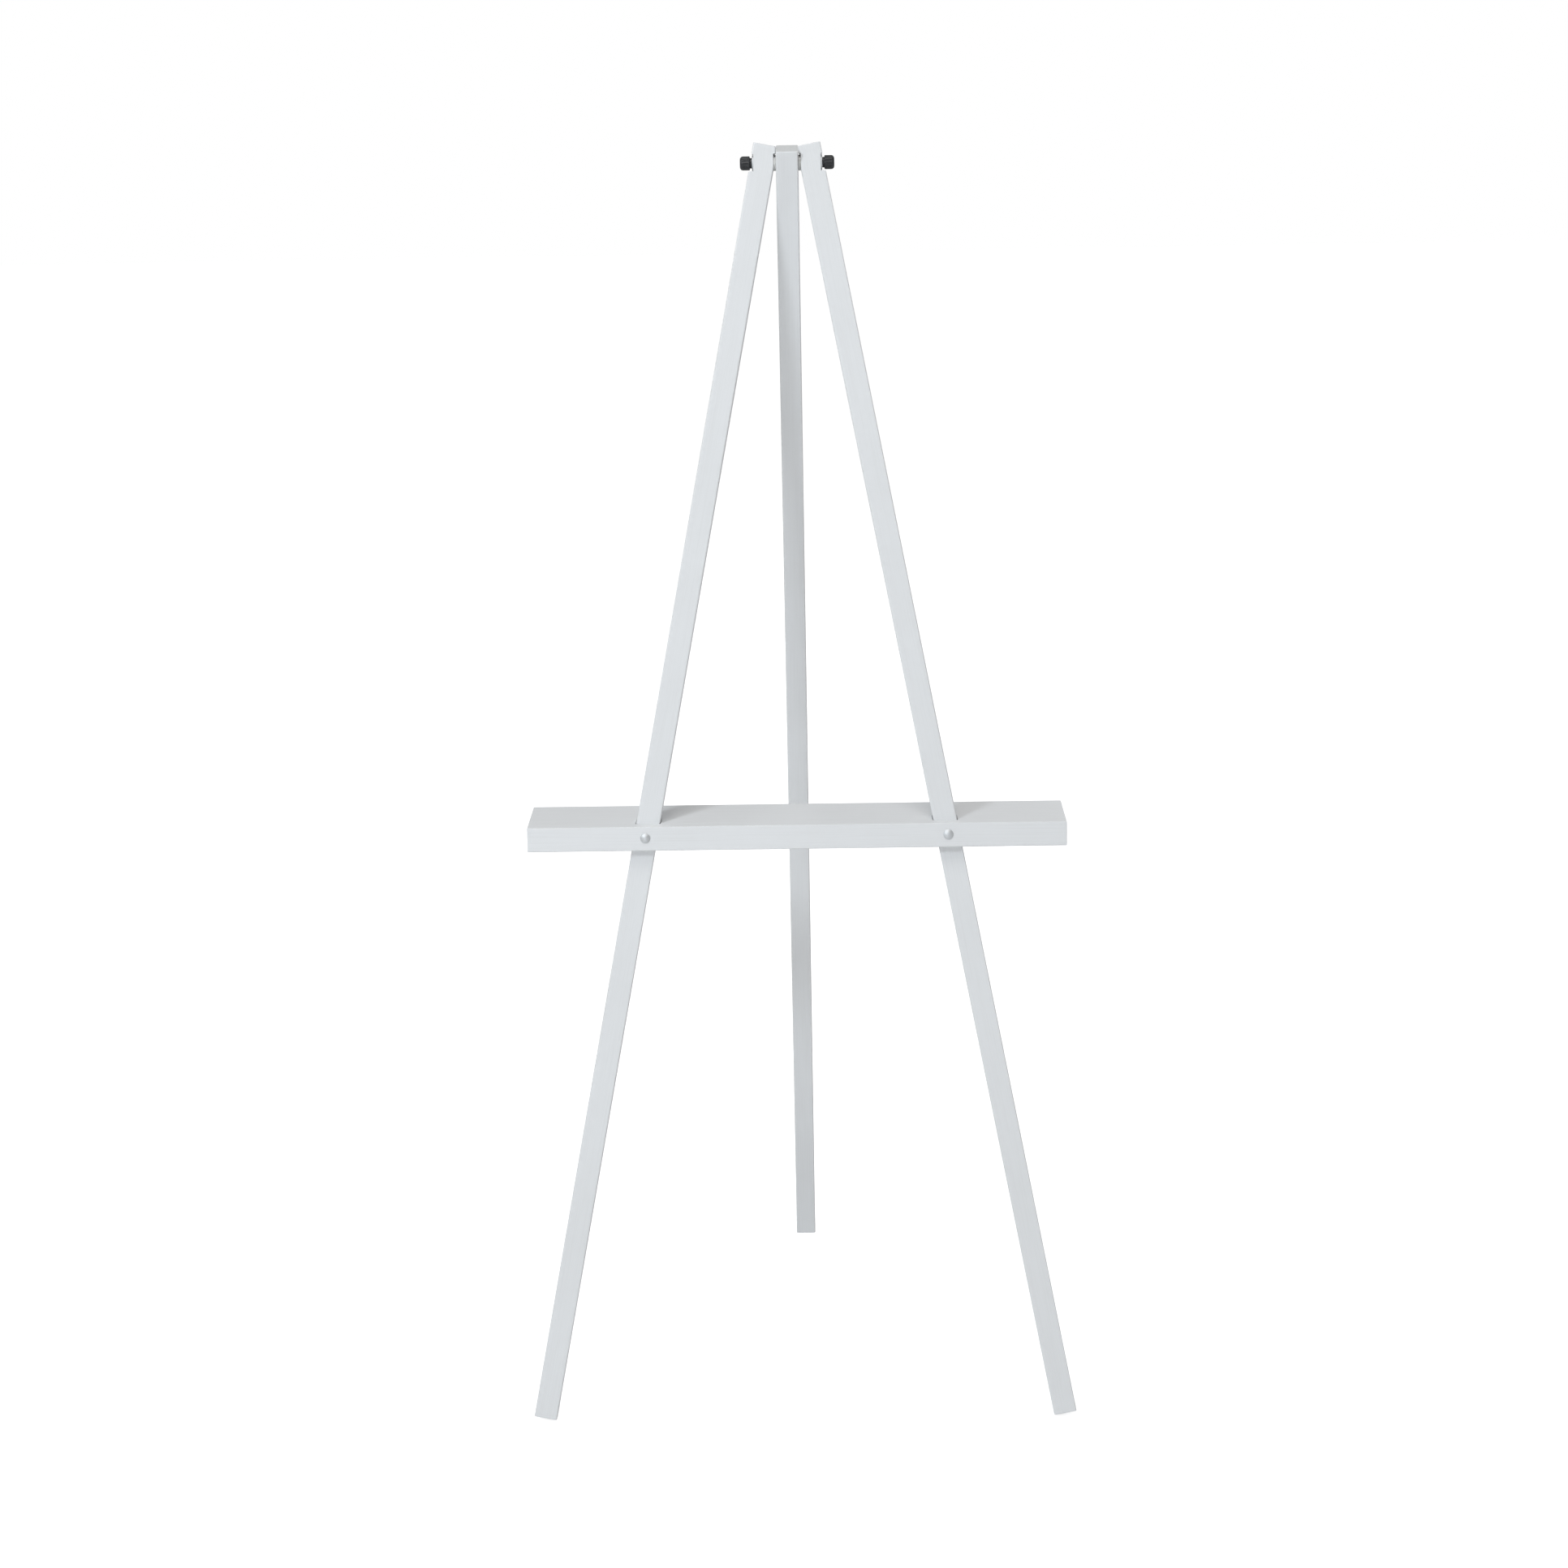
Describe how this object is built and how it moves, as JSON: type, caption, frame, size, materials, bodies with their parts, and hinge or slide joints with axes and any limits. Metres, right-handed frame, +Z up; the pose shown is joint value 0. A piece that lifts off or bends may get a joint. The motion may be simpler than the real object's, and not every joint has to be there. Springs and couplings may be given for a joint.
{
  "type": "tripod field easel",
  "caption": "Free-standing folding tripod easel with square timber legs, a front ledge with a level tray, and a rear leg that swings on a clamped cross stud.",
  "frame": {"origin": "on the floor, under the middle of the stand's outline (half-way between the front of the front feet and the back of the rear foot)", "axes": "+Z up, the front of the easel faces -Y, +X to the right as seen from the front"},
  "size_m": [0.6672, 0.5652, 1.5235],
  "materials": {
    "painted_wood": "white satin paint over planed timber",
    "bare_wood": "bare beech",
    "knob_plastic": "moulded, lightly textured",
    "spacer_nylon": "moulded nylon",
    "zinc_steel": "bright zinc plate",
    "insert_brass": "turned"
  },
  "bodies": {
    "front_frame": {"front_leg_left": "painted_wood", "front_leg_right": "painted_wood", "spacer_washer_left": "spacer_nylon", "spacer_washer_right": "spacer_nylon", "outer_washer_left": "zinc_steel", "outer_washer_right": "zinc_steel", "tray_rail": "painted_wood", "tray_shelf": "painted_wood", "tray_dowels": "bare_wood", "tray_bolt_left": "zinc_steel", "tray_bolt_right": "zinc_steel", "tray_washer_left": "zinc_steel", "tray_washer_right": "zinc_steel"},
    "rear_leg_swing": {"rear_leg": "painted_wood"},
    "stud_and_left_knob": {"pivot_stud": "zinc_steel", "pivot_knob_left": "knob_plastic"},
    "right_knob": {"pivot_knob_right": "knob_plastic", "pivot_knob_insert": "insert_brass"},
    "left_tray_knob": {"tray_knob_left": "knob_plastic", "tray_knob_insert_left": "insert_brass"},
    "right_tray_knob": {"tray_knob_right": "knob_plastic", "tray_knob_insert_right": "insert_brass"}
  },
  "joints": [
    {"name": "rear_leg_fold", "type": "hinge", "parent": "front_frame", "child": "rear_leg_swing", "pos_m": [0, -0.04902, 1.49951], "axis": [1, 0, 0], "range_deg": [-14.2, 15]},
    {"name": "left_knob_turn", "type": "hinge", "parent": "front_frame", "child": "stud_and_left_knob", "pos_m": [-0.05, -0.04902, 1.49951], "axis": [-1, 0, 0], "range_deg": [0, 540]},
    {"name": "right_knob_turn", "type": "hinge", "parent": "front_frame", "child": "right_knob", "pos_m": [0.05, -0.04902, 1.49951], "axis": [1, 0, 0], "range_deg": [0, 540]},
    {"name": "left_tray_knob_turn", "type": "hinge", "parent": "front_frame", "child": "left_tray_knob", "pos_m": [-0.18078, -0.17553, 0.72061], "axis": [0, 0.989, -0.1478], "range_deg": [0, 540]},
    {"name": "right_tray_knob_turn", "type": "hinge", "parent": "front_frame", "child": "right_tray_knob", "pos_m": [0.18078, -0.17553, 0.72061], "axis": [0, 0.989, -0.1478], "range_deg": [0, 540]}
  ]
}
